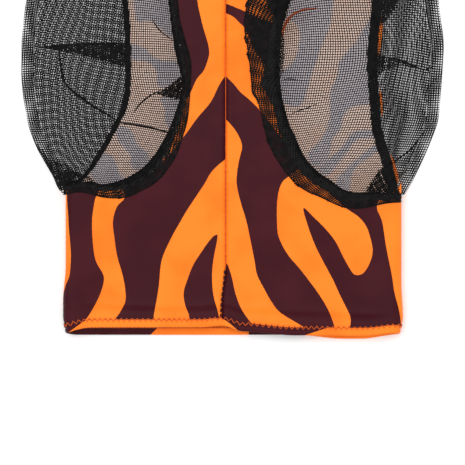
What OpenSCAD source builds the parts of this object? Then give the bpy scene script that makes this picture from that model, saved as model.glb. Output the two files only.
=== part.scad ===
// Stretch fly mask for a horse, laid flat with its face upwards.
// X runs across the mask, Y from the nose hem to the ear tips, Z up from the surface it lies on.
// Distances called "up" are measured along Y from the nose hem.
// Left and right are as seen from above with the nose nearest: left is -X and right is +X.

/* [Mask] */
// Width of the cloth tube laid flat
tube_width = 249; // [240:1:256]
// Height of the cloth tube, from the table to the top of the face cloth
tube_height = 17; // [16.6:0.1:18]
// Sideways roll of the face layer on the table
face_shift = -5; // [-8:1:0]
// Sideways roll of the jaw layer on the table
jaw_shift = 12; // [6:1:14]
// Thickness of the stretch cloth with its turned edges
cloth = 1.6; // [1.4:0.1:1.8]

/* [Hems] */
// Depth of the turned hems
hem_depth = 9.5; // [8:0.5:11]
// Thickness of a turned hem
hem_thick = 2.4; // [2.0:0.1:2.6]
// Distance from the nose hem to the top of the poll edge
poll_up = 462; // [460:1:466]
// Distance from the nose hem to the throat edge of the jaw layer
throat_up = 400; // [390:1:404]

/* [Eye bubbles] */
// Distance from the nose hem to the lower end of the eye openings
eye_low = 102; // [98:1:106]
// Length of the eye openings
eye_length = 214; // [205:1:218]
// Distance from the face seam to the nearest point of an eye opening
bridge_half = 30; // [27:1:33]
// Distance from the jaw centre line to the nearest point of a rear eye seam
rear_half = 90; // [88:1:94]
// Width of the gathered seam bands
band_width = 7; // [6:0.5:8]
// How far a bubble stands out past the side of the tube
bubble_out = 31.5; // [25:0.5:34]
// How far a bubble rises above the face cloth
bubble_rise = 22; // [15:1:26]
// Thickness of the net with its folds
net = 1.2; // [1.0:0.1:1.4]

/* [Ears] */
// Length of an ear pocket
ear_length = 178; // [165:1:182]
// Greatest width of an ear pocket
ear_width = 84; // [76:1:88]
// Free height inside an ear pocket
ear_hollow = 8; // [8:0.5:9]
// Distance from the nose hem to the ear base
ear_up = 421; // [419:1:424]
// Distance from the face seam to the middle of an ear base
ear_out = 62; // [58:1:64]
// Outward lean of each ear
ear_lean = 9; // [6:1:11]
// Droop of each ear towards the table
ear_droop = 4; // [3:0.5:4.5]

/* [Zip] */
// Distance from the nose hem to the zip's bottom stop
zip_low = 76; // [70:1:90]
// Height of the middle of the coil chain above the table
chain_level = 6; // [5.9:0.1:6.1]
// Length of the slider's pull
pull_length = 24; // [18:1:26]

/* [Hidden] */

LEFT = -1;
RIGHT = 1;
cloth_color = "#ff9030";
under_color = "#c9a48c";
trim_color = "#48202a";
net_color = "#1c1c1c";
zip_color = "#202024";
steel_color = "#9aa0a6";

half = tube_width / 2;
face_under = tube_height - cloth;       // underside of the face layer
poll_drop = 22;                         // how much lower the poll edge is at the sides
seam_width = 3;
seam_high = 0.6;

// Squareness of the outlines along an eye opening: 2 is an ellipse, more is squarer.
front_square = 3.4;
rear_square = 1.7;
bubble_square = 1.8;
rise_square = 2.6;
eye_steps = 20;                         // straight pieces along each eye opening
end_share = 0.004;                      // the outlines stop this share short of both ends
band_end = 0.8;                         // share of the band's width that its two ends keep
underside_turn = 12;                    // how far in a bubble's lower edge turns under

tape_inner = 3.3;                       // half gap between the zip tapes, where the chain sits
tape_flat = 8;
tape_foot = 13;
tape_outer = 18;
tape_thick = 0.7;
tape_tail = 28;                         // tape left below the bottom stop
chain_inner = 0.9;                      // half of the free gap between the two coils
chain_half_high = 1.2;
stop_length = 2;
stop_half_high = 1.4;
chain_top_up = throat_up - 6;
run = 0.4;                              // running gap between the slider and what it passes
slider_length = 12;
slider_up = chain_top_up - run - slider_length / 2;
plate = 1;                              // thickness of the slider's two plates
slider_half = 5.2;
plate_low = chain_level - chain_half_high - run;    // inner face of the lower plate
plate_high = chain_level + chain_half_high + run;   // inner face of the upper plate
bar_r = 0.7;
bar_level = 1.9;                        // height of the pull's pivot bar

ear_wall = 1.5;                         // thickness of each ear cloth
ear_rim = 2;                            // width of the ear's edge binding
ear_lift = 3;                           // height of the ear base above the face cloth
ear_gap = 0.5;                          // gap between the ear's fold line and its first cloth
ear_steps = 18;
slot_half = 31;                         // half width of the hole into each ear pocket
slot_low = 20;                          // distance from the ear's fold line to the hole's low edge
slot_high = 5;                          // distance from the ear's fold line to the hole's high edge
collar = 3;                             // width of the band round that hole

function steps_of(count) = [for (i = [0:count]) i];
function reversed(list) = [for (i = [len(list) - 1:-1:0]) list[i]];

// Half width of an ear at share s of its length: full near the base, pointed at the tip.
ear_root = 0.76;                        // base width as a share of the greatest width
function ear_half(s) =
    ear_width / 2 * (ear_root + (1 - ear_root) * sin(180 * pow(s, 0.7))) * sqrt(1 - pow(s, 3));
function ear_share(i) = sin(90 * i / ear_steps);
function ear_side(hand, trim) = [for (i = steps_of(ear_steps)) let (s = ear_share(i))
    [hand * max(0, ear_half(s) - trim), s * (ear_length - trim * 1.5)]];

// Keeps the leaning ear's near corner past the fold line.
ear_start = ear_gap + ear_width / 2 * ear_root * sin(ear_lean);
// How far the leaning, drooping ears reach past the fold line.
ear_reach = cos(ear_droop) * (ear_start + max([for (p = ear_side(LEFT, 0))
    p[1] * cos(ear_lean) - p[0] * sin(ear_lean)]));
mask_length = ear_up + ear_reach;

// Moves a drawing whose Y starts at the nose hem so that the mask is centred on its origin.
module from_hem() translate([0, -mask_length / 2, 0]) children();

// Lifts a flat outline to z_low and gives it a thickness.
module layer(z_low, thick) translate([0, 0, z_low]) linear_extrude(thick) children();

// ---- Outlines along an eye opening, as functions of the share t of its length ----

function share(i) = end_share + (1 - 2 * end_share) * (1 - cos(180 * i / eye_steps)) / 2;
function full(t, square) = pow(1 - pow(abs(2 * t - 1), square), 1 / square);

// X of each outline. grow widens the opening; side is LEFT or RIGHT.
function face_x(side, t, grow = 0) =
    side * half + full(t, front_square) * (face_shift + side * (bridge_half - grow - half));
function jaw_x(side, t, grow = 0) =
    side * half + full(t, rear_square) * (jaw_shift + side * (rear_half - grow - half));
function bubble_x(side, t) = side * (half + bubble_out * full(t, bubble_square));
function eye_y(t, grow = 0) = eye_low - grow * band_end + (eye_length + 2 * grow * band_end) * t;

function face_line(side, grow) =
    [for (i = steps_of(eye_steps)) [face_x(side, share(i), grow), eye_y(share(i), grow)]];
function jaw_line(side, grow) =
    [for (i = steps_of(eye_steps)) [jaw_x(side, share(i), grow), eye_y(share(i), grow)]];

eye_bottom = eye_y(0, band_width);      // lowest point of the gathered band
eye_top = eye_y(1, band_width);

// ---- Cloth tube ----

// Upper edge of the face layer: highest between the ears, lower at the sides.
function poll_edge(x) = poll_up - poll_drop * pow(x / half, 2);
poll_steps = 10;
function poll_line(side) =
    [for (i = steps_of(poll_steps))
        let (x = side * half + (face_shift - side * half) * i / poll_steps)
        [x, poll_edge(x) - hem_depth]];

module ear_slot(side, grow) {
    translate([ear_x(side) - slot_half - grow, ear_up - slot_low - grow])
        square([2 * (slot_half + grow), slot_low - slot_high + 2 * grow]);
}

module face_panel(side) color(cloth_color) from_hem() layer(face_under, cloth) difference() {
    polygon(concat(
        [[face_shift, hem_depth], [side * half, hem_depth], [side * half, eye_bottom]],
        face_line(side, band_width),
        [[side * half, eye_top]],
        poll_line(side)
    ));
    ear_slot(side, 0);
}

module jaw_panel(side) color(under_color) from_hem() layer(0, cloth) polygon(concat(
    [[jaw_shift, zip_low - tape_tail], [jaw_shift, hem_depth], [side * half, hem_depth],
     [side * half, eye_bottom]],
    jaw_line(side, band_width),
    [[side * half, eye_top], [side * half, throat_up - hem_depth],
     [jaw_shift + side * (tape_foot - 1), throat_up - hem_depth],
     [jaw_shift + side * (tape_foot - 1), zip_low - tape_tail]]
));

// Where the side cloth turns from the face to the jaw, from low to high along Y.
module side_fold(side, low, high) color(cloth_color) from_hem()
    translate([side * (half - cloth / 2), (low + high) / 2, tube_height / 2])
        cube([cloth, high - low, tube_height - 2 * cloth], center = true);

// ---- Hems ----

// One turned band all round the nose opening.
module nose_hem() color(cloth_color) from_hem()
    translate([0, hem_depth, 0]) rotate([90, 0, 0]) linear_extrude(hem_depth) difference() {
        translate([-half, 0]) square([tube_width, tube_height]);
        translate([cloth - half, hem_thick])
            square([tube_width - 2 * cloth, tube_height - 2 * hem_thick]);
    }

// Zigzag cover stitch along the face side of the nose hem.
module hem_stitching() color(trim_color) from_hem() {
    pitch = 4;
    count = floor(tube_width / pitch) - 1;
    for (i = steps_of(count - 1))
        translate([(i - (count - 1) / 2) * pitch, hem_depth - 2.5, tube_height])
            rotate(i % 2 == 0 ? 40 : -40) linear_extrude(0.3) square([4.2, 0.5], center = true);
}

module poll_hem() color(trim_color) from_hem() {
    edge = concat(poll_line(LEFT), reversed(poll_line(RIGHT)));
    layer(tube_height - hem_thick, hem_thick)
        polygon(concat(edge, reversed([for (p = edge) [p[0], p[1] + hem_depth]])));
    for (side = [LEFT, RIGHT])
        translate([side * (half - cloth / 2), poll_edge(half) - hem_depth / 2, tube_height / 2])
            cube([cloth, hem_depth, tube_height - 2 * cloth], center = true);
}

module throat_hem(side) color(trim_color) from_hem() layer(0, hem_thick) {
    inner = jaw_shift + side * (tape_outer + 1);
    outer = side * (half - cloth);
    translate([min(inner, outer), throat_up - hem_depth])
        square([abs(outer - inner), hem_depth]);
}

// ---- Seams ----

module face_seam() color(cloth_color) from_hem() layer(tube_height, seam_high)
    translate([face_shift - seam_width / 2, hem_depth])
        square([seam_width, poll_edge(face_shift) - 2 * hem_depth]);

module jaw_seam() color(under_color) from_hem() layer(cloth, seam_high)
    translate([jaw_shift - seam_width / 2, hem_depth])
        square([seam_width, zip_low - tape_tail - hem_depth - 1]);

module eye_band_front(side) color(net_color) from_hem()
    layer(face_under, cloth + 0.8)
        polygon(concat([[side * half, eye_bottom]], face_line(side, band_width),
            [[side * half, eye_top], [side * half, eye_low + eye_length]],
            reversed(face_line(side, 0)), [[side * half, eye_low]]));

module eye_band_rear(side) color(net_color) from_hem()
    layer(0, cloth)
        polygon(concat([[side * half, eye_bottom]], jaw_line(side, band_width),
            [[side * half, eye_top], [side * half, eye_low + eye_length]],
            reversed(jaw_line(side, 0)), [[side * half, eye_low]]));

// ---- Eye bubbles: net pouches, open towards the inside of the mask ----

dome_steps = 14;
turn_steps = 5;

// One cross-section at share t, from the face seam over the dome and under to the jaw seam.
// inset shrinks it by the net's thickness for the inner surface.
function bubble_section(side, t, inset) =
    let (
        front = face_x(side, t),
        outer = bubble_x(side, t) - side * inset,
        rear = jaw_x(side, t),
        level = face_under + net - inset,
        rise = bubble_rise * full(t, rise_square),
        turn = min(underside_turn, 0.8 * abs(outer - rear)),
        under = inset
    )
    concat(
        [for (i = steps_of(dome_steps)) let (a = 180 * i / dome_steps)
            [(front + outer) / 2 - (outer - front) / 2 * cos(a), eye_y(t), level + rise * sin(a)]],
        [for (i = [1:turn_steps]) let (a = 90 * i / turn_steps)
            [outer - side * turn * (1 - cos(a)), eye_y(t), level - (level - under) * sin(a)]],
        [[rear, eye_y(t), under]]
    );

module eye_mesh(side) color(net_color) from_hem() {
    sections = [for (i = steps_of(eye_steps)) concat(
        bubble_section(side, share(i), 0), reversed(bubble_section(side, share(i), net)))];
    ring = len(sections[0]);
    last = eye_steps * ring;
    turned = side == RIGHT;
    walls = [for (s = [0:eye_steps - 1]) for (k = [0:ring - 1])
        let (a = s * ring + k, b = s * ring + (k + 1) % ring)
        each [[a, b, b + ring], [a, b + ring, a + ring]]];
    // Each end is closed by quads between the outer and the inner surface.
    ends = [for (k = [0:ring / 2 - 2]) let (m = ring - 1 - k)
        each [[k, m, m - 1, k + 1], [last + k, last + k + 1, last + m - 1, last + m]]];
    faces = concat(walls, ends);
    polyhedron(
        points = [for (s = sections) each s],
        faces = turned ? faces : [for (f = faces) reversed(f)],
        convexity = 8
    );
}

// ---- Ears ----

function ear_x(side) = face_shift + side * ear_out;
ear_level = tube_height + ear_lift;
ear_thick = ear_hollow + 2 * ear_wall;

module ear_outline(trim) polygon(concat(ear_side(LEFT, trim), reversed(ear_side(RIGHT, trim))));

// Places a drawing made with its fold line along X at Y = 0 and its top at Z = 0.
module at_ear(side) from_hem()
    translate([ear_x(side), ear_up, ear_level + ear_thick])
        rotate([-ear_droop, 0, 0]) translate([0, ear_start, 0]) rotate(-side * ear_lean) children();

module ear_front(side) color(cloth_color) at_ear(side) layer(-ear_wall, ear_wall) ear_outline(0);
module ear_back(side) color(cloth_color) at_ear(side) layer(-ear_thick, ear_wall) ear_outline(0);
module ear_binding(side) color(trim_color) at_ear(side)
    layer(ear_wall - ear_thick, ear_hollow) difference() {
        ear_outline(0);
        ear_outline(ear_rim);
        translate([-ear_width / 2, -1]) square([ear_width, 1.01]);
    }

// Raised band round the hole that leads into each ear pocket.
module ear_collar(side) color(trim_color) from_hem() layer(tube_height, ear_lift - 1)
    difference() {
        ear_slot(side, collar);
        ear_slot(side, 0);
    }

// ---- Zip under the jaw ----

// Draws in a section across the zip and runs it from low to high along Y.
module along_zip(low, high) from_hem()
    translate([jaw_shift, high, 0]) rotate([90, 0, 0]) linear_extrude(high - low) children();

module zip_tape(side) color(zip_color) along_zip(zip_low - tape_tail, throat_up) {
    top = chain_level + tape_thick / 2;
    foot = cloth + tape_thick;
    polygon([
        [side * tape_inner, top], [side * tape_flat, top], [side * tape_foot, foot],
        [side * tape_outer, foot], [side * tape_outer, cloth], [side * tape_foot, cloth],
        [side * tape_flat, top - tape_thick], [side * tape_inner, top - tape_thick]
    ]);
}

module zip_chain(side) color(zip_color) along_zip(zip_low, chain_top_up)
    translate([side * (chain_inner + tape_inner) / 2, chain_level])
        square([tape_inner - chain_inner, 2 * chain_half_high], center = true);

module zip_top_stops() color(steel_color) along_zip(chain_top_up, chain_top_up + stop_length)
    for (side = [LEFT, RIGHT])
        translate([side * (chain_inner + tape_inner) / 2, chain_level])
            square([tape_inner - chain_inner, 2 * stop_half_high], center = true);

module zip_bottom_stop() color(steel_color) along_zip(zip_low - stop_length, zip_low)
    translate([0, chain_level]) square([2 * tape_inner, 2 * stop_half_high], center = true);

module zip_slider() color(steel_color) {
    flange = slider_half - tape_inner - run;
    tape_room = tape_thick / 2 + run;
    low = slider_up - slider_length / 2;
    high = slider_up + slider_length / 2;
    along_zip(low, high) {
        for (z = [plate_low - plate, plate_high])
            translate([-slider_half, z]) square([2 * slider_half, plate]);
        for (side = [LEFT, RIGHT]) {
            x = side > 0 ? slider_half - flange : -slider_half;
            translate([x, plate_low]) square([flange, chain_level - tape_room - plate_low]);
            translate([x, chain_level + tape_room]) square([flange, plate_high - chain_level - tape_room]);
        }
    }
    // Post that parts the two coils
    along_zip(high - 5, high - 1.5)
        translate([run - chain_inner, plate_low]) square([2 * (chain_inner - run), plate_high - plate_low]);
    slider_bail();
}

// Arch under the lower plate that the pull's bar passes through
module slider_bail() {
    reach = 4.5;
    leg = 1.2;
    from_hem() translate([jaw_shift + chain_inner, slider_up, 0]) rotate([0, -90, 0])
        linear_extrude(2 * chain_inner) difference() {
            translate([0.2, -reach]) square([plate_low - plate - 0.2, 2 * reach]);
            translate([1, leg - reach]) square([plate_low - plate, 2 * (reach - leg)]);
        }
}

module zip_pull() color(steel_color) from_hem() translate([jaw_shift, slider_up, 0]) {
    arm_in = 1.5;
    arm_out = 2.9;
    tab_start = 6.5;
    tab_half = 3.5;
    tab_level = 0.3;
    tab_thick = 1.4;
    translate([-arm_in, 0, bar_level]) rotate([0, 90, 0]) cylinder(r = bar_r, h = 2 * arm_in, $fn = 32);
    for (side = [LEFT, RIGHT])
        translate([side * (arm_in + arm_out) / 2, -(tab_start + 1.5 - bar_r) / 2, bar_level])
            cube([arm_out - arm_in, tab_start + 1.5 + bar_r, 2 * bar_r], center = true);
    translate([0, 0, tab_level]) linear_extrude(tab_thick) difference() {
        union() {
            translate([-tab_half, tab_half - pull_length])
                square([2 * tab_half, pull_length - tab_half - tab_start]);
            translate([0, tab_half - pull_length]) circle(r = tab_half, $fn = 48);
        }
        translate([0, tab_half - pull_length]) circle(r = 1.2, $fn = 32);
    }
}

face_panel(LEFT);  // face_panel_left
face_panel(RIGHT);  // face_panel_right
jaw_panel(LEFT);  // jaw_panel_left
jaw_panel(RIGHT);  // jaw_panel_right
side_fold(LEFT, hem_depth, eye_bottom);  // nose_side_left
side_fold(RIGHT, hem_depth, eye_bottom);  // nose_side_right
side_fold(LEFT, eye_top, poll_edge(half) - hem_depth);  // poll_side_left
side_fold(RIGHT, eye_top, poll_edge(half) - hem_depth);  // poll_side_right
nose_hem();
hem_stitching();
poll_hem();
throat_hem(LEFT);  // throat_hem_left
throat_hem(RIGHT);  // throat_hem_right
face_seam();
jaw_seam();
eye_mesh(LEFT);  // eye_mesh_left
eye_mesh(RIGHT);  // eye_mesh_right
eye_band_front(LEFT);  // eye_band_left_front
eye_band_front(RIGHT);  // eye_band_right_front
eye_band_rear(LEFT);  // eye_band_left_rear
eye_band_rear(RIGHT);  // eye_band_right_rear
ear_collar(LEFT);  // ear_collar_left
ear_collar(RIGHT);  // ear_collar_right
ear_front(LEFT);  // ear_left_front
ear_back(LEFT);  // ear_left_back
ear_binding(LEFT);  // ear_left_binding
ear_front(RIGHT);  // ear_right_front
ear_back(RIGHT);  // ear_right_back
ear_binding(RIGHT);  // ear_right_binding
zip_tape(LEFT);  // zip_tape_left
zip_tape(RIGHT);  // zip_tape_right
zip_chain(LEFT);  // zip_chain_left
zip_chain(RIGHT);  // zip_chain_right
zip_top_stops();
zip_bottom_stop();
zip_slider();
zip_pull();
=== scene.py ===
# Horse fly mask: printed stretch cloth, net eye bubbles, ear pockets and an under-jaw zip.
# Shape work is done in millimetres: across (X), up (along Y from the nose hem) and high (Z).
# to_frame() turns such points into metres in the CAD frame.

import math

import bpy
import numpy as np
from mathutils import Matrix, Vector
from mathutils.geometry import delaunay_2d_cdt


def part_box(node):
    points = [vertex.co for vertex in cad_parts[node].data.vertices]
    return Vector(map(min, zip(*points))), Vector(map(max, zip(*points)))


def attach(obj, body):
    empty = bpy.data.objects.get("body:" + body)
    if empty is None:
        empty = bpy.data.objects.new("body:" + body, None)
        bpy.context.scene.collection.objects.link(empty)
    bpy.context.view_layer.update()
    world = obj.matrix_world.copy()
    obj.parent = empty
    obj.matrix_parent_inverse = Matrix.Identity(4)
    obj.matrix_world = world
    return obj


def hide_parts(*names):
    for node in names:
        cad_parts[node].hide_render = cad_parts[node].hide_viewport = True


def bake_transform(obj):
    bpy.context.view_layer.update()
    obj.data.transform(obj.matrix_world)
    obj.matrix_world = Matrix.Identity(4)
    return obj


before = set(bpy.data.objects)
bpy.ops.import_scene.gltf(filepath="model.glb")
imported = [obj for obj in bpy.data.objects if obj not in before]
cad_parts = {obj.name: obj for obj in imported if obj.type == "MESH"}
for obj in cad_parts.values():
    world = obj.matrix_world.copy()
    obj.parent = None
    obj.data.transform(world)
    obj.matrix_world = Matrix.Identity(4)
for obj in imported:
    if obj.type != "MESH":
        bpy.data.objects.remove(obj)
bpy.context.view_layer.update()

MM = 0.001
LEFT = -1
RIGHT = 1
SIDE_NAMES = {LEFT: "left", RIGHT: "right"}

# ---- places read from the CAD frame

HEM_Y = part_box("nose_hem")[0][1]


def box_mm(node):
    """Lowest and highest corners of a CAD node as (across, up, high) in millimetres."""
    low, high = (np.array(corner, float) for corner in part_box(node))
    shift = np.array([0.0, HEM_Y, 0.0])
    return (low - shift) / MM, (high - shift) / MM


def middle_mm(node):
    low, high = box_mm(node)
    return (low + high) / 2


HALF = box_mm("nose_hem")[1][0]
FACE_MID = middle_mm("face_seam")[0]
JAW_MID = middle_mm("jaw_seam")[0]
POLL_UP = box_mm("poll_hem")[1][1]
THROAT_UP = box_mm("throat_hem_left")[1][1]
ZIP_LOW = box_mm("zip_tape_left")[0][1]
ZIP_GAP = 12.0

VIEW_WIDTH = 0.344   # width in metres of the square of surface that the camera sees
VIEW_UP = 76.0       # distance from the nose hem to the middle of the view
CAMERA_HIGH = 1.7    # metres

CLOTH = 0.8          # thickness of the stretch cloth
ROLL = 6.0           # radius of the roll where the cloth turns from face to jaw
CLOTH_PITCH = 2.4    # length of the edges of its triangles
FLOOR_GAP = 0.3      # the jaw cloth's lowest point above the surface
ROLL_LENGTH = math.pi * ROLL
SIDE_TOP = FLOOR_GAP + 2 * ROLL


def to_frame(points):
    """Millimetre points (across, up, high) as metre points in the CAD frame."""
    out = np.array(points, float) * MM
    out[..., 1] += HEM_Y
    return out


# ---- numbers and outlines


def smoothstep(low, high, value):
    t = np.clip((np.asarray(value, float) - low) / (high - low), 0.0, 1.0)
    return t * t * (3 - 2 * t)


def smooth_curve(points, steps=6, closed=False):
    """A Catmull-Rom curve through given points."""
    p = np.array(points, float)
    if closed:
        p = np.vstack([p[-1:], p, p[:2]])
    else:
        p = np.vstack([2 * p[0] - p[1], p, 2 * p[-1] - p[-2]])
    out = []
    for i in range(1, len(p) - 2):
        for k in range(steps):
            t = k / steps
            out.append(0.5 * (
                2 * p[i]
                + (p[i + 1] - p[i - 1]) * t
                + (2 * p[i - 1] - 5 * p[i] + 4 * p[i + 1] - p[i + 2]) * t ** 2
                + (3 * p[i] - p[i - 1] - 3 * p[i + 1] + p[i + 2]) * t ** 3
            ))
    if not closed:
        out.append(p[-2])
    return np.array(out)


def even_points(curve, pitch):
    """The same open curve with its points evenly spaced, about pitch apart."""
    step = np.linalg.norm(np.diff(curve, axis=0), axis=1)
    run = np.concatenate([[0], np.cumsum(step)])
    count = max(2, int(round(run[-1] / pitch)) + 1)
    at = np.linspace(0, run[-1], count)
    return np.stack([np.interp(at, run, curve[:, k]) for k in range(curve.shape[1])], axis=1)


def even_curve(points, pitch):
    """A smooth open curve through given points, with its own points about pitch apart."""
    return even_points(smooth_curve(points), pitch)


def at_shares(line, shares):
    """Where an evenly spaced line is at the given shares of its length."""
    own = np.linspace(0, 1, len(line))
    return np.stack([np.interp(shares, own, line[:, k]) for k in (0, 1)], axis=1)


def between(first, second, part_way, count=90):
    """A line between two others; part_way lists (share of length, share of the way) pairs."""
    at = np.linspace(0, 1, count)
    one, two = (at_shares(even_curve(line, 1.0), at) for line in (first, second))
    share = np.interp(at, *zip(*part_way))[:, None]
    return one * (1 - share) + two * share


def middle_line(first, second):
    return between(first, second, [(0, 0.5), (1, 0.5)], 60)


def inside_distance(points, outline):
    """Signed distance from each point to a closed outline, positive inside."""
    spots = np.asarray(points, float).reshape(-1, 2)
    result = np.full(len(spots), -1e3)
    low = outline.min(axis=0) - 12
    high = outline.max(axis=0) + 12
    near = np.all((spots > low) & (spots < high), axis=1)
    p = spots[near]
    best = np.full(len(p), 1e9)
    crossings = np.zeros(len(p), int)
    for start, end in zip(outline, np.roll(outline, -1, axis=0)):
        edge = end - start
        length2 = max(edge @ edge, 1e-9)
        t = np.clip(((p - start) @ edge) / length2, 0, 1)
        gap = p - start - t[:, None] * edge
        best = np.minimum(best, np.einsum("ij,ij->i", gap, gap))
        if start[1] != end[1]:
            spans = (start[1] > p[:, 1]) != (end[1] > p[:, 1])
            cross_x = start[0] + (p[:, 1] - start[1]) * edge[0] / edge[1]
            crossings += spans & (p[:, 0] < cross_x)
    distance = np.sqrt(best)
    result[near] = np.where(crossings % 2 == 1, distance, -distance)
    return result.reshape(np.shape(points)[:-1])


# ---- eye openings, (across, up)

# Outer and inner edge of each gathered net band on the face, and the seam on the jaw.
BAND_OUTER = {
    LEFT: [(-124, 104), (-111, 106), (-94, 102), (-79, 102), (-67, 107), (-58, 112), (-50, 120),
           (-42, 132), (-37, 146), (-33, 161), (-31, 188), (-31, 202), (-35, 217), (-39, 232),
           (-41, 248), (-46, 268), (-56, 290), (-74, 307), (-98, 315), (-124, 316)],
    RIGHT: [(124, 98.5), (112, 97.5), (95, 94), (81, 95), (65, 102), (52, 108), (41, 118), (30, 135),
            (24, 151), (20, 169), (15, 180), (13, 198), (11, 213), (9, 226), (10, 239), (13, 248),
            (19, 268), (31, 289), (52, 306), (84, 315), (124, 316)],
}
BAND_INNER = {
    LEFT: [(-124, 109), (-107, 113), (-94, 111), (-79, 115), (-67, 122), (-58, 131), (-51, 142),
           (-45, 154), (-39, 171), (-36, 182), (-37, 191), (-41, 206), (-44, 225), (-47, 248),
           (-53, 266), (-62, 284), (-78, 299), (-100, 307), (-124, 308)],
    RIGHT: [(124, 104), (98, 104.5), (83, 106), (71, 114), (61, 121), (51, 133), (45, 147), (41, 155),
            (37, 169), (35, 178), (34, 190), (34, 208), (36, 230), (38, 248), (44, 266), (56, 284),
            (76, 298), (100, 306), (124, 308)],
}
REAR_SEAM = {
    LEFT: [(-124, 105), (-110, 117), (-104, 124), (-97, 135), (-90, 147), (-83, 161), (-79, 171),
           (-77, 184), (-77, 215), (-79, 248), (-83, 270), (-91, 292), (-105, 307), (-124, 315)],
    RIGHT: [(122, 101), (119, 111), (115, 127), (111, 139), (107, 155), (106, 171), (104, 193),
            (104, 207), (106, 230), (108, 248), (111, 268), (115, 290), (120, 306), (124, 315)],
}
BUBBLE_EDGE = {
    LEFT: [(-124, 102), (-129, 109), (-133, 118), (-142, 133), (-147, 144), (-152, 161), (-156, 189),
           (-156, 204), (-155, 226), (-152, 248), (-147, 268), (-140, 286), (-132, 302), (-124, 313)],
    RIGHT: [(124, 100), (129, 107), (135, 118), (142, 132), (147, 144), (152, 160), (154, 182),
            (156, 204), (156, 217), (154, 232), (152, 248), (148, 268), (141, 286), (133, 302),
            (124, 313)],
}


# The cloth's edge lies under the middle of the band on the left; on the right the net is folded
# over the bridge of the nose, so the cloth's edge lies nearer the band's inner edge.
FRONT_EDGE = {
    LEFT: middle_line(BAND_OUTER[LEFT], BAND_INNER[LEFT]),
    RIGHT: middle_line(BAND_INNER[RIGHT], middle_line(BAND_OUTER[RIGHT], BAND_INNER[RIGHT])),
}

# ---- the cloth tube


def seam_across(up):
    """The face seam drifts a little to the left near the hem."""
    return FACE_MID - 3.0 * (1 - smoothstep(15, 52, up))


def hem_edge(across):
    """How far the face layer's lower edge stands above the lowest part of the nose hem."""
    x = np.asarray(across, float)
    return (
        3.4
        + 2.8 * smoothstep(-124, -106, x)
        + 1.2 * np.exp(-((x + 9) / 8) ** 2)
        - 3.0 * smoothstep(-5, 8, x)
        - 2.9 * smoothstep(8, 46, x)
        - 0.4 * smoothstep(60, 90, x)
        + 2.4 * smoothstep(96, 122, x)
    )


def jaw_hem_edge(across):
    """The same for the jaw layer, which hangs out below the face on the right."""
    x = np.asarray(across, float)
    return 0.4 - 2.9 * smoothstep(46, 82, x) + 3.0 * smoothstep(96, 123, x)


def poll_edge(across):
    """The face layer's upper edge, which falls away to both sides."""
    return POLL_UP - 2 - 22 * (np.asarray(across, float) / HALF) ** 2


def face_high(across, up):
    """Height of the face cloth's outer surface."""
    x = np.asarray(across, float)
    u = np.asarray(up, float)
    level = 9.4 + 2.9 * smoothstep(20, 130, u) + 1.4 * smoothstep(300, 420, u)
    wave = (
        0.55 * np.sin(x / 33 + 1.1) * np.sin(u / 37 + 0.4)
        + 0.35 * np.sin(x / 17 + u / 29)
        + 0.3 * np.sin(u / 11 - x / 61) * (1 - smoothstep(20, 60, u))
    )
    beside = np.abs(x - seam_across(u))
    ridge = 0.5 * np.exp(-((beside - 3.2) / 1.6) ** 2) - 0.75 * np.exp(-(beside / 1.1) ** 2)
    folded = u - hem_edge(x) - 1.2 * np.sin(x / 26)
    press = 0.9 * np.exp(-((folded - 17) / 2.2) ** 2) - 0.8 * np.exp(-((folded - 12.5) / 2.0) ** 2)
    edge = smoothstep(0, 26, HALF - ROLL - np.abs(x))
    return SIDE_TOP * (1 - edge) + (level + wave + press) * edge + ridge


def flat_length(side):
    """Length of cloth from the face seam to where the side roll starts."""
    return HALF - ROLL - side * FACE_MID


def along_of_jaw(side, across):
    """Distance along the cloth from the face seam to a place on the jaw layer."""
    return flat_length(side) + ROLL_LENGTH + (HALF - ROLL - side * np.asarray(across, float))


def side_bulge(side, up):
    """How far the tube's flat sides stand out beyond their plain width."""
    q = np.asarray(up, float)
    at_hem = 1 - smoothstep(1, 12, q)
    if side == LEFT:
        waist = smoothstep(24, 52, q) * (1 - smoothstep(110, 150, q))
        return 0.4 - 1.9 * waist - 2.2 * at_hem
    return 1.2 * (1 - smoothstep(10, 40, q)) - 2.6 * at_hem


def tube_point(side, along, up, out=0.0):
    """Point on the tube: along runs from the face seam round the side roll onto the jaw layer.

    out lifts the point off the outer surface of the cloth.
    """
    c = np.asarray(along, float)
    q = np.asarray(up, float)
    start = flat_length(side)
    angle = np.clip((c - start) / ROLL, 0, math.pi)
    fade = 1 - smoothstep(0, 70, q)
    on_face = c < start
    x_face = FACE_MID + side * c + (seam_across(q) - FACE_MID) * (1 - smoothstep(0, 60, c))
    x_roll = side * (HALF - ROLL + (ROLL + out) * np.sin(angle))
    x_jaw = side * (HALF - ROLL - (c - start - ROLL_LENGTH))
    x = np.where(on_face, x_face, np.where(angle < math.pi, x_roll, x_jaw))
    x = x + side * side_bulge(side, q) * smoothstep(HALF - 50, HALF - ROLL, np.abs(x))
    share_round = angle / math.pi
    lower = (
        hem_edge(np.where(on_face, x_face, side * HALF)) * (1 - share_round)
        + jaw_hem_edge(np.where(angle < math.pi, side * HALF, x_jaw)) * share_round
    )
    y = q + lower * fade
    z_roll = FLOOR_GAP + ROLL + (ROLL + out) * np.cos(angle)
    z = np.where(on_face, face_high(x_face, y) + out, z_roll)
    return np.stack([x, y, z], axis=-1)


# ---- printed stripes

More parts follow.
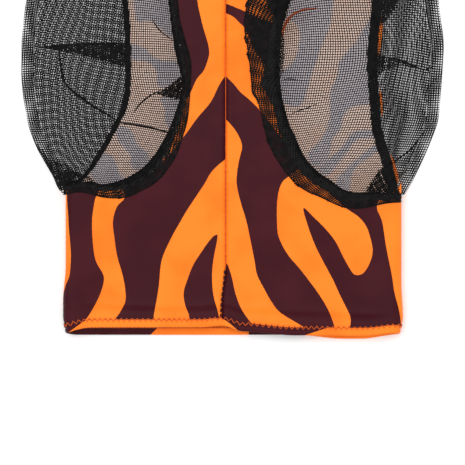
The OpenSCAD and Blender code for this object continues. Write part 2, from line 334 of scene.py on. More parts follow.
# Burgundy stripes on each face panel, as closed outlines of (across, up). They run past the seam,
# the side and the net, where the panel itself ends.
STRIPES = {
    LEFT: [
        [(-27, 275), (-26, 257), (-26, 248), (-24, 237), (-21, 225), (-18, 215), (-17, 208),
         (-18, 203), (-21, 195), (-26, 189), (-38, 172), (-60, 200), (-60, 262)],
        [(6, 199), (-5, 191), (-10, 184), (-16, 172), (-26, 160), (-37, 145), (-54, 126), (-79, 114),
         (-79, 102), (-85, 95), (-88, 84), (-87, 73), (-85, 59), (-81, 45), (-79, 34), (-79, 25),
         (-83, 17), (-90, 3), (-57, 1), (-58, 13), (-56, 25), (-54, 38), (-53, 50), (-51, 59),
         (-45, 72), (-40, 81), (-33, 93), (-21, 111), (-15, 121), (-5, 130), (6, 138)],
        [(-121, 112), (-121, 86), (-119, 64), (-119, 54), (-120, 44), (-123, 38), (-127, 31),
         (-136, 20), (-136, -4), (-119, -2), (-112, 8), (-107, 13), (-102, 21), (-98, 29), (-95, 38),
         (-95, 45), (-100, 54), (-102, 63), (-103, 75), (-103, 87), (-101, 100), (-98, 112)],
        [(-12, 75), (-17, 70), (-22, 63), (-29, 52), (-33, 42), (-36, 32), (-35, 23), (-32, 15),
         (-29, 3), (-7, 2), (-10, 14), (-11, 19), (-14, 30), (-15, 43), (-14, 56), (-11, 72)],
    ],
    RIGHT: [
        [(-14, 200), (-5, 191), (1, 185), (6, 179), (12, 174), (20, 166), (31, 152), (44, 135),
         (50, 125), (41, 117), (36, 112), (33, 100), (33, 78), (36, 68), (42, 58), (49, 50),
         (56, 41), (64, 30), (71, 18), (75, 7), (78, -6), (64, -2), (53, 6), (43, 12), (34, 18),
         (28, 26), (23, 35), (18, 45), (16, 56), (13, 71), (10, 85), (6, 98), (3, 112), (4, 125),
         (6, 134), (7, 140), (4, 148), (-1, 155), (-6, 160), (-14, 166)],
        [(-12, 244), (-5, 244), (3, 241), (10, 238), (19, 234), (27, 230), (40, 228), (40, 186),
         (30, 187), (27, 191), (26, 196), (23, 202), (17, 208), (13, 217), (9, 226), (5, 230),
         (1, 234), (-5, 237), (-12, 238)],
        [(52, 94), (60, 87), (69, 78), (76, 69), (81, 59), (86, 50), (90, 45), (96, 46), (101, 54),
         (103, 63), (101, 73), (98, 81), (92, 88), (81, 96), (70, 112), (108, 112), (106, 95),
         (110, 84), (113, 65), (117, 45), (119, 32), (122, 21), (124, 12), (126, -4), (89, -6),
         (87, 12), (85, 18), (79, 30), (74, 41), (67, 54), (61, 66), (56, 79)],
        [(-5, 54), (-1, 45), (2, 32), (6, 21), (11, 13), (19, 3), (22, -4), (-14, -4), (-14, 30),
         (-12, 50)],
    ],
}
# Burgundy on the jaw panels where it shows, wrong side up, through the eye openings.
JAW_STRIPES = {
    LEFT: [
        [(-73, 268), (-72, 240), (-70, 232), (-60, 232), (-52, 226), (-47, 221), (-42, 221), (-42, 268)],
        [(-80, 215), (-66, 213), (-58, 206), (-51, 203), (-36, 202), (-33, 191), (-41, 188),
         (-50, 183), (-56, 186), (-56, 195), (-63, 202), (-80, 205)],
        [(-53, 176), (-36, 176), (-38, 164), (-44, 152), (-50, 158), (-50, 167)],
        [(-85, 154), (-75, 152), (-70, 141), (-63, 135), (-62, 127), (-71, 122), (-75, 126),
         (-76, 134), (-85, 145)],
        [(-97, 134), (-88, 132), (-84, 121), (-80, 113), (-95, 108), (-105, 120)],
    ],
    RIGHT: [
        [(42, 268), (42, 248), (40, 234), (46, 231), (50, 222), (47, 207), (42, 199), (33, 192),
         (33, 176), (45, 169), (52, 172), (58, 191), (62, 202), (66, 214), (72, 229), (75, 248),
         (78, 268)],
        [(105, 234), (91, 217), (79, 202), (77, 191), (72, 179), (72, 161), (66, 146), (56, 134),
         (61, 124), (71, 133), (74, 145), (80, 153), (82, 162), (88, 169), (106, 178)],
        [(108, 152), (91, 151), (85, 145), (80, 138), (64, 124), (70, 118), (79, 128), (86, 137),
         (93, 145), (108, 146)],
        [(105, 141), (83, 122), (76, 112), (86, 106), (88, 118), (93, 126), (107, 136)],
    ],
}
# Stretches of the nose hem's own cloth that are burgundy: where each starts and ends across the
# face at the hem's lower edge, with how far each end moves for a millimetre up the hem.
HEM_BURGUNDY = [(-140.0, 0.0, -118.5, 2.0), (4.1, -2.2, 53.0, 3.0)]


def wild_stripes(across, up):
    """Stripes for the parts without drawn outlines: bands that swell, taper and lean."""
    x = np.asarray(across, float)
    u = np.asarray(up, float)
    phase = (0.95 * u + 27 * np.sin(x / 36 + 0.5) + 9 * np.sin(u / 31 + x / 52) - 0.25 * np.abs(x)) / 47
    reach = 0.12 + 0.62 * np.sin(x / 27 - u / 71 + 1.3)
    return 7.0 * (np.sin(2 * math.pi * phase) - reach)


def drawn_field(outlines, spots):
    field = np.full(len(spots), -9.0)
    for outline in outlines:
        field = np.maximum(field, inside_distance(spots, smooth_curve(outline, closed=True)))
    return np.clip(field, -9, 9)


def stripe_field(side, flat, points):
    """Signed field of the print, positive where it is burgundy, in about millimetres.

    flat holds (along, up) on the cut cloth and points the same places on the tube.
    """
    on_face = flat[:, 0] < flat_length(side)
    round_side = FACE_MID + side * (flat[:, 0] + side_bulge(side, flat[:, 1]))
    across = np.where(on_face, points[:, 0], round_side)
    spots = np.column_stack([across, points[:, 1]])
    wild = wild_stripes(across, points[:, 1])
    above = smoothstep(246, 292, points[:, 1])
    around = smoothstep(HALF + 4, HALF + 22, np.abs(across))
    share = np.maximum(above, around)
    face = drawn_field(STRIPES[side], spots) * (1 - share) + wild * share
    window = np.concatenate([BAND_OUTER[side], [(side * HALF, 316), (side * HALF, 100)]])
    places = points[:, :2]
    away = smoothstep(2, 18, -inside_distance(places, window))
    away = np.maximum(away, smoothstep(250, 266, points[:, 1]))
    jaw = drawn_field(JAW_STRIPES[side], places) * (1 - away) + wild * away
    return np.where(on_face | (flat[:, 0] < flat_length(side) + ROLL_LENGTH), face, jaw)


# ---- materials


class Graph:
    """A new material, with short names for the node calls that every material here makes."""

    def __init__(self, name):
        self.material = bpy.data.materials.new(name)
        self.material.use_nodes = True
        self.tree = self.material.node_tree
        self.tree.nodes.clear()
        out = self.node("ShaderNodeOutputMaterial")
        self.shader = self.node("ShaderNodeBsdfPrincipled")
        self.link(self.shader.outputs[0], out.inputs[0])

    def node(self, kind, **values):
        made = self.tree.nodes.new(kind)
        for key, value in values.items():
            setattr(made, key, value)
        return made

    def link(self, source, target):
        self.tree.links.new(source, target)

    def surface(self, **inputs):
        """Sets the shader's inputs, named with _ for each space, to numbers or other nodes' outputs."""
        for key, value in inputs.items():
            socket = self.shader.inputs[key.replace("_", " ")]
            if isinstance(value, float):
                socket.default_value = value
            else:
                self.link(value, socket)

    def place(self):
        return self.node("ShaderNodeTexCoord").outputs["Object"]

    def noise(self, scale, detail=3.0):
        made = self.node("ShaderNodeTexNoise")
        made.inputs["Scale"].default_value = scale
        made.inputs["Detail"].default_value = detail
        self.link(self.place(), made.inputs["Vector"])
        return made.outputs["Fac"]

    def ribs(self, scale, direction, twist=0.0):
        made = self.node("ShaderNodeTexWave", wave_type="BANDS", bands_direction=direction)
        made.inputs["Scale"].default_value = scale
        made.inputs["Distortion"].default_value = twist
        self.link(self.place(), made.inputs["Vector"])
        return made.outputs["Fac"]

    def span(self, source, low, high, to_low, to_high):
        made = self.node("ShaderNodeMapRange", interpolation_type="SMOOTHSTEP")
        keys = ("From Min", "From Max", "To Min", "To Max")
        for key, value in zip(keys, (low, high, to_low, to_high)):
            made.inputs[key].default_value = value
        self.link(source, made.inputs["Value"])
        return made.outputs[0]

    def mix(self, share, first, second):
        made = self.node("ShaderNodeMix", data_type="RGBA")
        self.link(share, made.inputs[0])
        for socket, value in ((made.inputs[6], first), (made.inputs[7], second)):
            if isinstance(value, tuple):
                socket.default_value = (*value, 1)
            else:
                self.link(value, socket)
        return made.outputs[2]

    def add(self, first, second, share):
        """first + share * second"""
        made = self.node("ShaderNodeMath", operation="MULTIPLY_ADD")
        self.link(second, made.inputs[0])
        made.inputs[1].default_value = share
        self.link(first, made.inputs[2])
        return made.outputs[0]

    def bump(self, height, strength, distance):
        made = self.node("ShaderNodeBump")
        made.inputs["Strength"].default_value = strength
        made.inputs["Distance"].default_value = distance
        self.link(height, made.inputs["Height"])
        self.surface(Normal=made.outputs[0])


ORANGE = (0.95, 0.212, 0.016)
ORANGE_DEEP = (0.89, 0.168, 0.011)
BURGUNDY = (0.0365, 0.0018, 0.0052)
BURGUNDY_LIGHT = (0.050, 0.0048, 0.0090)
PEACH = (1.0, 0.76, 0.65)
PEACH_DEEP = (0.98, 0.68, 0.55)
LILAC = (0.58, 0.53, 0.57)
LILAC_LIGHT = (0.68, 0.61, 0.63)


def printed_cloth(name, ground, ground_deep, dark, dark_light, sheen, blur=0.35):
    """Cloth that turns from ground to dark where its stripe attribute turns positive."""
    g = Graph(name)
    stripe = g.node("ShaderNodeAttribute", attribute_name="stripe").outputs["Fac"]
    mottle = g.noise(34, 4.0)
    fine = g.noise(900, 2.0)
    off_stripe = g.mix(g.span(mottle, 0.35, 0.75, 0.0, 1.0), ground, ground_deep)
    on_stripe = g.mix(g.span(mottle, 0.35, 0.7, 0.0, 1.0), dark, dark_light)
    edge = g.add(stripe, fine, 0.5)
    middle = 0.27
    share = g.span(edge, middle - blur / 2, middle + blur / 2, 0.0, 1.0)
    colour = g.mix(share, off_stripe, on_stripe)
    g.surface(Base_Color=colour, Roughness=g.span(mottle, 0.3, 0.7, 0.46, 0.56))
    knit = g.add(g.ribs(520, "X"), g.ribs(430, "Y", 1.0), 0.6)
    g.bump(knit, 0.25, 0.00012)
    g.surface(Specular_IOR_Level=0.1, Sheen_Weight=sheen, Sheen_Roughness=0.35)
    return g.material


def woven(name, dark, light, scale, rough, sheen=0.02, depth=0.0002, shine=0.15):
    """Thread-built trim: fine crossing ribs over a mottled colour."""
    g = Graph(name)
    weave = g.add(g.ribs(scale, "X", 0.6), g.ribs(scale * 0.9, "Y", 0.6), 1.0)
    colour = g.mix(g.span(g.noise(220, 3.0), 0.3, 0.7, 0.0, 1.0), dark, light)
    g.surface(Base_Color=colour, Roughness=g.span(weave, 0.2, 1.6, rough + 0.08, rough - 0.06))
    g.bump(weave, 0.5, depth)
    g.surface(Sheen_Weight=sheen, Specular_IOR_Level=shine)
    return g.material


def metal(name):
    g = Graph(name)
    streak = g.ribs(900, "X", 4.0)
    tone = g.span(g.noise(300), 0.35, 0.65, 0.0, 1.0)
    g.surface(Base_Color=g.mix(tone, (0.42, 0.43, 0.45), (0.56, 0.57, 0.59)),
              Roughness=g.span(streak, 0.0, 1.0, 0.28, 0.42), Metallic=1.0)
    g.bump(streak, 0.15, 0.00005)
    return g.material


PRINT = printed_cloth("print_outside", ORANGE, ORANGE_DEEP, BURGUNDY, BURGUNDY_LIGHT, 0.015)
WRONG_SIDE = printed_cloth("print_wrong_side", PEACH, PEACH_DEEP, LILAC, LILAC_LIGHT, 0.02, 2.6)
THREAD_RED = woven("thread_red", (0.62, 0.085, 0.02), (0.80, 0.14, 0.03), 2400, 0.6)
THREAD_ORANGE = woven("thread_orange", (0.56, 0.08, 0.014), (0.74, 0.13, 0.022), 2400, 0.6)
THREAD_DARK = woven("thread_dark", (0.022, 0.006, 0.009), (0.05, 0.014, 0.02), 2400, 0.6)
BINDING = woven("binding", (0.032, 0.008, 0.012), (0.055, 0.013, 0.019), 900, 0.62)
NET = woven("net", (0.0022, 0.0022, 0.0024), (0.0060, 0.0058, 0.0060), 1500, 0.5, 0.0, 0.00005, 0.06)
# The bands' top ply is the same black net, with its colour painted about twice as light: painted light
# on the ply that lies on top of the shaded plies below.
NET_PAINTED_LIGHTER = woven(
    "net_top_layer_painted_lighter", (0.0045, 0.004, 0.004), (0.013, 0.012, 0.012), 1500, 0.45, 0.0, 0.0001, 0.1)
TAPE = woven("zip_tape", (0.012, 0.012, 0.014), (0.026, 0.026, 0.03), 1100, 0.66)
COIL = woven("zip_coil", (0.016, 0.016, 0.018), (0.03, 0.03, 0.034), 500, 0.38, 0.0)
METAL = metal("zip_metal")


# ---- mesh helpers


def add_mesh(name, points, faces, materials, slot, body="mask"):
    """A piece from millimetre points; it rides on body unless that is None."""
    mesh = bpy.data.meshes.new(name)
    mesh.from_pydata(to_frame(points).tolist(), [], [list(map(int, f)) for f in faces])
    mesh.validate()
    mesh.shade_smooth()
    for material in materials:
        mesh.materials.append(material)
    piece = bpy.data.objects.new(name, mesh)
    bpy.context.scene.collection.objects.link(piece)
    if body is not None:
        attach(piece, body)
    return piece


def give_stripe(piece, values):
    """Stores the print's signed field, which the cloth's colour reads."""
    attribute = piece.data.attributes.new("stripe", "FLOAT", "POINT")
    attribute.data.foreach_set("value", np.asarray(values, np.float32))


def thicken(piece, thickness_mm, inner_material=0):
    """Gives a sheet its thickness on its inner side."""
    solid = piece.modifiers.new("thickness", "SOLIDIFY")
    solid.thickness = thickness_mm * MM
    solid.offset = -1
    solid.use_even_offset = False
    solid.material_offset = inner_material


def sweep(rings, closed=False):
    """Points and faces of a tube through rings, which hold equally many points each."""
    size = len(rings[0])
    count = len(rings)
    points = np.concatenate(rings)
    faces = []
    for i in range(count if closed else count - 1):
        a = i * size
        b = ((i + 1) % count) * size
        for k in range(size):
            n = (k + 1) % size
            faces.append((a + k, a + n, b + n, b + k))
    if not closed:
        faces.append(tuple(range(size - 1, -1, -1)))
        faces.append(tuple(range((count - 1) * size, count * size)))
    return points, faces


def round_tube(path, radius, sides, closed=False):
    """A round tube along a 3-D path; radius is a number or one per path point."""
    path = np.asarray(path, float)
    radii = np.broadcast_to(radius, (len(path),))
    if closed:
        ahead = np.roll(path, -1, axis=0) - np.roll(path, 1, axis=0)
    else:
        ahead = np.gradient(path, axis=0)
    ahead /= np.linalg.norm(ahead, axis=1)[:, None]
    upward = np.array([0.0, 0.0, 1.0])
    across = np.cross(ahead, upward)
    weak = np.linalg.norm(across, axis=1) < 1e-3
    across[weak] = np.array([1.0, 0.0, 0.0])
    across /= np.linalg.norm(across, axis=1)[:, None]
    normal = np.cross(across, ahead)
    turns = np.linspace(0, 2 * math.pi, sides, endpoint=False)

    rings = []
    for place, size, right, up in zip(path, radii, across, normal):
        rings.append(place + size * (np.cos(turns)[:, None] * right + np.sin(turns)[:, None] * up))
    return sweep(rings, closed)


def join_parts(parts):
    """Several (points, faces) lists as one."""
    points, faces, base = [], [], 0
    for p, f in parts:
        points.append(np.asarray(p, float))
        faces.extend(tuple(k + base for k in face) for face in f)
        base += len(p)
    return np.concatenate(points), faces


# ---- cheek cloth: face, roll and jaw


def upper_end(side, along):
    """Top edge of the cloth: the poll on the face, down the side roll to the throat."""
    c = np.asarray(along, float)
    start = flat_length(side)
    on_face = poll_edge(FACE_MID + side * np.minimum(c, start))
    down = smoothstep(start - 6, start + ROLL_LENGTH + 46, c)
    return on_face * (1 - down) + (THROAT_UP - 2) * down


def cloth_outline(side, pitch):
    """Closed outline of one half of the tube as (along, up)."""
    zip_edge = float(along_of_jaw(side, JAW_MID + side * ZIP_GAP))
    jaw_edge = float(along_of_jaw(side, JAW_MID))
    hidden = 1.5     # the cut edge lies inside the hem, this far up
    top_along = np.arange(zip_edge, 0, -pitch)
    top = np.stack([top_along, upper_end(side, top_along)], axis=1)
    corners = [(0, float(upper_end(side, 0))), (0, hidden), (jaw_edge, hidden), (jaw_edge, ZIP_LOW),
               (zip_edge, ZIP_LOW), (zip_edge, float(top[0, 1]))]
    runs = [even_points(np.array(ends, float), pitch)[:-1] for ends in zip(corners, corners[1:])]
    return np.concatenate([top[:-1], *runs])


def eye_outline(side, pitch):
    """Closed outline of the eye hole as (along, up)."""
    front = FRONT_EDGE[side]
    rear = smooth_curve(REAR_SEAM[side])
    start = flat_length(side)
    front_along = side * (front[:, 0] - FACE_MID)
    rear_along = along_of_jaw(side, rear[:, 0])
    keep_front = front_along < start - 1
    keep_rear = rear_along > start + ROLL_LENGTH + 1
    front_flat = np.stack([front_along, front[:, 1]], axis=1)[keep_front]
    rear_flat = np.stack([rear_along, rear[:, 1]], axis=1)[keep_rear]
    loop = np.concatenate([front_flat, rear_flat[::-1], front_flat[:1]])
    return even_points(loop, pitch)[:-1]


def cut_cloth(side, pitch):
    """Flat triangles of one half of the tube, with the eye hole cut out."""
    outline = cloth_outline(side, pitch)
    eye = eye_outline(side, pitch)
    low, high = outline.min(axis=0), outline.max(axis=0)
    grid = []
    for index, row in enumerate(np.arange(low[1], high[1], pitch * 0.87)):
        columns = np.arange(low[0] + (pitch / 2 if index % 2 else 0), high[0], pitch)
        grid.append(np.stack([columns, np.full(len(columns), row)], axis=1))
    grid = np.concatenate(grid)
    clear = pitch * 0.55      # no grid point comes nearer than this to an edge
    grid = grid[(inside_distance(grid, outline) > clear) & (inside_distance(grid, eye) < -clear)]
    points = np.concatenate([outline, eye, grid])
    loops = []
    for start, count in ((0, len(outline)), (len(outline), len(eye))):
        loops += [(start + k, start + (k + 1) % count) for k in range(count)]
    verts, _, faces, *_ = delaunay_2d_cdt([tuple(p) for p in points], loops, [], 0, 1e-5)
    verts = np.array([tuple(v) for v in verts])
    faces = np.array(faces)
    centres = verts[faces].mean(axis=1)
    kept = (inside_distance(centres, outline) > 0) & (inside_distance(centres, eye) < 0)
    return verts, faces[kept]


def cheek_cloth(side):
    """One half of the tube: face panel, side roll and jaw panel in one cut of cloth."""
    flat, faces = cut_cloth(side, CLOTH_PITCH)
    points = tube_point(side, flat[:, 0], flat[:, 1])
    if side == LEFT:
        faces = faces[:, ::-1]
    name = SIDE_NAMES[side]
    piece = add_mesh(f"cheek_cloth_{name}", points, faces, [PRINT, WRONG_SIDE], "print_cloth")
    give_stripe(piece, stripe_field(side, flat, points))
    thicken(piece, CLOTH, 1)
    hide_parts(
        f"face_panel_{name}", f"jaw_panel_{name}", f"nose_side_{name}", f"poll_side_{name}")
    width = flat[:, 0].max() * MM
    length = (flat[:, 1].max() - flat[:, 1].min()) * MM
    corners = flat[faces]
    edge_one = corners[:, 1] - corners[:, 0]
    edge_two = corners[:, 2] - corners[:, 0]
    area = np.abs(edge_one[:, 0] * edge_two[:, 1] - edge_one[:, 1] * edge_two[:, 0]).sum() / 2 * MM ** 2
    return piece, (width, length), float(area)


# ---- hems, bindings, seams and stitches


def jaw_reach(gap=0.0):
    """How far each half's cloth runs along to the jaw's middle, or to a gap beside it."""
    return {s: float(along_of_jaw(s, JAW_MID + s * gap)) for s in (LEFT, RIGHT)}


def ring_stations(reach, pitch=3.0):
    """(side, along) stations from the left half's far edge, over the face seam, to the right's."""
    left = [(LEFT, c) for c in np.arange(reach[LEFT], 0, -pitch)]
    right = [(RIGHT, c) for c in np.arange(0, reach[RIGHT], pitch)] + [(RIGHT, reach[RIGHT])]
    return left + right


def edge_band(stations, edge_up, section):
    """A band that wraps the cloth's edge; section lists (inward from the edge, outward) points."""
    rings = []
    for side, along in stations:
        top = edge_up(side, along)
        rings.append(np.array([tube_point(side, along, top + inward, out) for inward, out in section]))
    return sweep(rings)


def hem_stripe(points):
    """The nose hem's own colours: distances into its burgundy stretches."""
    x = points[:, 0]
    on_jaw = points[:, 2] < FLOOR_GAP + ROLL
    rise = points[:, 1] - hem_edge(x)
    face = np.full(len(x), -50.0)
    for start, start_lean, end, end_lean in HEM_BURGUNDY:
        stretch = np.minimum(x - start - start_lean * rise, end + end_lean * rise - x)
        face = np.maximum(face, stretch)
    jaw = np.maximum(-61 + points[:, 1] - x, np.minimum(x - 12, 53 - x))
    return np.where(on_jaw, jaw, face)


def build_nose_hem():
    """The lower edge, turned up inside and held by a zigzag row."""
    inner = -CLOTH - 0.55
    section = [(5.9, 0.02), (5.7, 0.4), (4.6, 0.75), (3.7, 0.35), (3.1, 0.35), (2.2, 0.8),
               (0.9, 0.55), (0.2, 0.1), (0.0, -0.45), (0.3, -1.0), (1.6, inner),
               (5.0, inner - 0.05), (7.4, inner), (7.6, -CLOTH)]
    points, faces = edge_band(ring_stations(jaw_reach()), lambda side, along: 0.0, section)
    hem = add_mesh("nose_hem_band", points, faces, [PRINT], "print_cloth")
    give_stripe(hem, hem_stripe(points))
    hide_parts("nose_hem")
    return hem


def build_hem_stitches():
    """Zigzag thread round the whole hem."""
    reach = {s: full - 4 for s, full in jaw_reach().items()}
    loops = []
    for index, (side, along) in enumerate(ring_stations(reach, 1.0)):
        rise = (-1.3, 0.1, 1.3, 0.1)[index % 4]
        loops.append(tube_point(side, along, 5.6 + rise, 0.6))
    parts = [round_tube(loops, 0.36, 5)]
    high = FLOOR_GAP + CLOTH + 0.75
    for x in np.arange(-119, JAW_MID - 5, 2.6):
        stitch = [(x, 5.5, high), (x + 0.9, 5.9, high + 0.1), (x + 1.8, 5.5, high)]
        parts.append(round_tube(stitch, 0.42, 5))
    stitches = add_mesh("hem_overlock", *join_parts(parts), [THREAD_ORANGE], "thread")
    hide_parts("hem_stitching")
    return stitches


def dashes(path_at, start, end, length, gap, radius):
    """Separate stitches along a path function of one distance."""
    parts = []
    at = start
    while at + length < end:
        path = [path_at(at + length * share) for share in (0, 0.15, 0.5, 0.85, 1)]
        path[0][2] -= radius
        path[-1][2] -= radius
        parts.append(round_tube(path, radius, 5))
        at += length + gap
    return join_parts(parts)


def build_face_seam():
    def on_seam(up, shift=0.0):
        x = float(seam_across(up)) + shift
        return np.array([x, up, float(face_high(x, up)) + 0.16])

    path = [on_seam(up) for up in np.arange(50, POLL_UP - 6, 2.5)]
    line = round_tube(path, 0.3, 6)
    seam = add_mesh("face_seam_thread", *line, [THREAD_RED], "thread")
    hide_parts("face_seam")
    dark = dashes(lambda up: on_seam(up, -0.7), 13.5, 51, 2.5, 1.5, 0.6)
    low = add_mesh("face_seam_low_stitches", *dark, [THREAD_DARK], "thread")
    return seam, low


def build_jaw_seam():
    """Below the zip the two jaw panels meet in a stitched seam."""
    def below(up):
        return np.array([JAW_MID, up, FLOOR_GAP - 0.2])

    stitches = dashes(below, 8, ZIP_LOW, 2.6, 1.2, 0.32)
    seam = add_mesh("jaw_seam_stitches", *stitches, [THREAD_DARK], "thread")
    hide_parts("jaw_seam")
    return seam


def build_top_binding():
    """One binding from zip edge to zip edge over the throat, the side rolls and the poll."""
    reach = jaw_reach(ZIP_GAP)
    inner = -CLOTH - 0.6
    section = [(-9, 0.0), (-8.7, 0.5), (-5, 0.75), (-1, 0.7), (0.9, 0.25), (1.5, -0.5),
               (0.9, -1.25), (-1, inner - 0.1), (-5, inner - 0.15), (-8.7, inner), (-9, -CLOTH)]
    points, faces = edge_band(ring_stations(reach), upper_end, section)
    binding = add_mesh("poll_and_throat_binding", points, faces, [BINDING], "binding")
    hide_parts("poll_hem", "throat_hem_left", "throat_hem_right")
    path = []
    for index, (side, along) in enumerate(ring_stations(reach, 1.9)):
        up = float(upper_end(side, along)) - 7.4 + (0.7 if index % 2 else -0.7)
        path.append(tube_point(side, along, up, 0.75))
    stitches = add_mesh("binding_zigzag", *round_tube(path, 0.25, 5), [THREAD_RED], "thread")
    return binding, stitches


# ---- knitted net


def lattice(place, reach_a, reach_b, pitch, thread, turn, valid=None):
    """Flat net of crossing threads over the (a, b) patch, turned by degrees about its middle.

    place maps arrays a, b to points; valid, where given, tells which (a, b) belong to the net.
    Returns points, faces and the net's own flat area in square millimetres.
    """
    mid = np.array([(reach_a[0] + reach_a[1]) / 2, (reach_b[0] + reach_b[1]) / 2])
    span = np.array([reach_a[1] - reach_a[0], reach_b[1] - reach_b[0]])
    c, s = math.cos(math.radians(turn)), math.sin(math.radians(turn))
    half_span = (abs(c) * span + abs(s) * span[::-1]) / 2
    lines = []
    for k in (0, 1):
        count = int(half_span[k] / pitch) + 1
        centres = np.arange(-count, count + 1) * pitch
        lines.append(np.stack([centres - thread / 2, centres + thread / 2], axis=1).ravel())
    grid_a, grid_b = np.meshgrid(*lines, indexing="ij")
    a = mid[0] + c * grid_a - s * grid_b
    b = mid[1] + s * grid_a + c * grid_b
    good = (a >= reach_a[0]) & (a <= reach_a[1]) & (b >= reach_b[0]) & (b <= reach_b[1])
    points = place(a, b)
    if valid is not None:
        good &= valid(a, b, points)
    rows, columns = good.shape
    index = np.arange(rows * columns).reshape(rows, columns)
    i, j = np.meshgrid(np.arange(rows - 1), np.arange(columns - 1), indexing="ij")
    hole = (i % 2 == 1) & (j % 2 == 1)
    whole = good[:-1, :-1] & good[1:, :-1] & good[:-1, 1:] & good[1:, 1:] & ~hole
    i, j = i[whole], j[whole]
    faces = np.stack([index[i, j], index[i + 1, j], index[i + 1, j + 1], index[i, j + 1]], axis=1)
    used = np.unique(faces)
    renumber = np.zeros(rows * columns, int)
    renumber[used] = np.arange(len(used))
    knots = int(((i % 2 == 0) & (j % 2 == 0)).sum())
    area = knots * (thread * thread + 2 * thread * (pitch - thread))
    return points.reshape(-1, 3)[used], renumber[faces], area


def add_net(name, parts, slot="net_band", material=NET):
    """A piece of net; it casts no shadow, so that the cloth inside the eye stays bright."""
    net = add_mesh(name, *join_parts(parts), [material], slot)
    net.visible_shadow = False
    return net


class NetBubble:
    """The net over one eye: from the front edge over the dome, round its rim and back under."""

    RISE = 23.0               # height of the dome over its base
    RIM_HIGH = 4.0            # height of the rim over the surface
    LOWEST = 1.0              # height of the lower net well inside the rim
    RISES_FROM_RIM = 62.0     # distances over which the dome comes up
    RISES_FROM_EDGE = 58.0
    DROPS_FROM_RIM = 16.0     # and over which the lower net comes down
    TURNED_UNDER = 10.0       # width of the upper net's strip under the rim
    SEWN_IN = 0.6             # how far the net reaches past its outline

    def __init__(self, side):
        self.side = side
        self.front = FRONT_EDGE[side]
        self.rear = smooth_curve(REAR_SEAM[side])
        self.rim = even_curve(BUBBLE_EDGE[side], 2.0)
        self.upper = np.concatenate([self.front, self.rim[::-1]])
        self.lower = np.concatenate([self.rear, self.rim[::-1]])
        self.build_tables()

    def from_rim(self, x, y, reach):
        """Distance inward from the rim, as a share of a reach."""
        rim_x = np.interp(y, self.rim[:, 1], self.rim[:, 0])
        return np.clip(self.side * (rim_x - x) / reach, 0, 1)

    def high(self, x, y):
        """Height of the upper net over a place."""
        inward = self.from_rim(x, y, self.RISES_FROM_RIM)
        from_edge = inside_distance(np.stack([x, y], axis=-1), self.upper) / self.RISES_FROM_EDGE
        dome = (1 - (1 - inward) ** 1.7) * (1 - (1 - np.clip(from_edge, 0, 1)) ** 2)
        across = np.clip(np.abs(x), 0, HALF - ROLL - 2)
        cloth = face_high(self.side * across, y) + 0.8
        outside = smoothstep(HALF - 22, HALF + 8, np.abs(x))
        base = cloth * (1 - outside) + self.RIM_HIGH * outside
        s = self.side
        fold = (
            0.9 * np.sin(x / 9.5 + s * y / 31 + 0.7)
            + 0.8 * np.sin(y / 12.5 - s * x / 47)
            + 1.6 * np.sin(y / 26 + x / 19)
        )
        return base + dome * (self.RISE + fold)

    def low(self, x, y):
        """Height of the lower net over a place."""
        drop = 1 - (1 - self.from_rim(x, y, self.DROPS_FROM_RIM)) ** 2.2
        ripple = 0.5 * drop * (1 + np.sin(x / 8 + y / 15))
        return self.RIM_HIGH + (self.LOWEST - self.RIM_HIGH) * drop + ripple

    def build_tables(self):
        """For rows of equal height up the mask: place against length round from the rim."""
        self.rows = np.linspace(self.rim[0, 1] + 0.5, self.rim[-1, 1] - 0.5, 108)
        self.lengths = np.arange(-120.0, 170.0, 1.0)
        self.across = np.zeros((len(self.rows), len(self.lengths)))
        self.heights = np.zeros_like(self.across)
        ease = np.linspace(0, 1, 190) ** 1.6
        for k, row in enumerate(self.rows):
            rim_x = np.interp(row, self.rim[:, 1], self.rim[:, 0])
            upper_x = rim_x - self.side * ease * 135
            lower_x = rim_x - self.side * ease * 95
            y = np.full(len(ease), row)
            upper_z = self.high(upper_x, y)
            lower_z = self.low(lower_x, y)
            x = np.concatenate([lower_x[::-1], upper_x[1:]])
            z = np.concatenate([lower_z[::-1], upper_z[1:]])
            run = np.concatenate([[0], np.cumsum(np.hypot(np.diff(x), np.diff(z)))])
            run -= run[len(ease) - 1]
            self.across[k] = np.interp(self.lengths, run, x)
            self.heights[k] = np.interp(self.lengths, run, z)
        centre_z = self.heights[:, np.searchsorted(self.lengths, 45)]
        climb = np.hypot(np.diff(self.rows), np.diff(centre_z))
        self.row_run = np.concatenate([[0], np.cumsum(climb)])

    def point(self, a, b):
        """Point at length a from the rim (positive on top) and length b up the eye."""
        s = self.side
        inward = np.abs(a)
        loose = smoothstep(0, 32, inward)
        drift_a = a + loose * (2.6 * np.sin(b / 27 + 0.5 * s) + 0.9 * np.sin(b / 12 + a / 23))
        drift_b = b + 3.2 * np.sin(inward / 36 + 0.8) + 1.0 * np.sin(inward / 14 + b / 21)
        row = np.interp(drift_b, self.row_run, np.arange(len(self.rows)))
        i = np.clip(row.astype(int), 0, len(self.rows) - 2)
        column = np.clip(drift_a - self.lengths[0], 0, len(self.lengths) - 1.001)
        j = column.astype(int)
        f, g = row - i, column - j

        def read(table):
            low = table[i, j] * (1 - g) + table[i, j + 1] * g
            high = table[i + 1, j] * (1 - g) + table[i + 1, j + 1] * g
            return low * (1 - f) + high * f

        up = self.rows[i] * (1 - f) + self.rows[i + 1] * f
        return np.stack([read(self.across), up, read(self.heights)], axis=-1)

    def within(self, outline, b, points):
        inside_run = (b > 1) & (b < self.row_run[-1] - 1)
        return (inside_distance(points[..., :2], outline) > -self.SEWN_IN) & inside_run

    def on_top(self, a, b, points):
        """The upper net, and the strip of it that is turned under the rim."""
        turned = (a > -self.TURNED_UNDER) & self.within(self.lower, b, points)
        return np.where(a > 0, self.within(self.upper, b, points), turned)

    def on_underside(self, a, b, points):
        overlap = 0.6
        return (a < overlap - self.TURNED_UNDER) & self.within(self.lower, b, points)


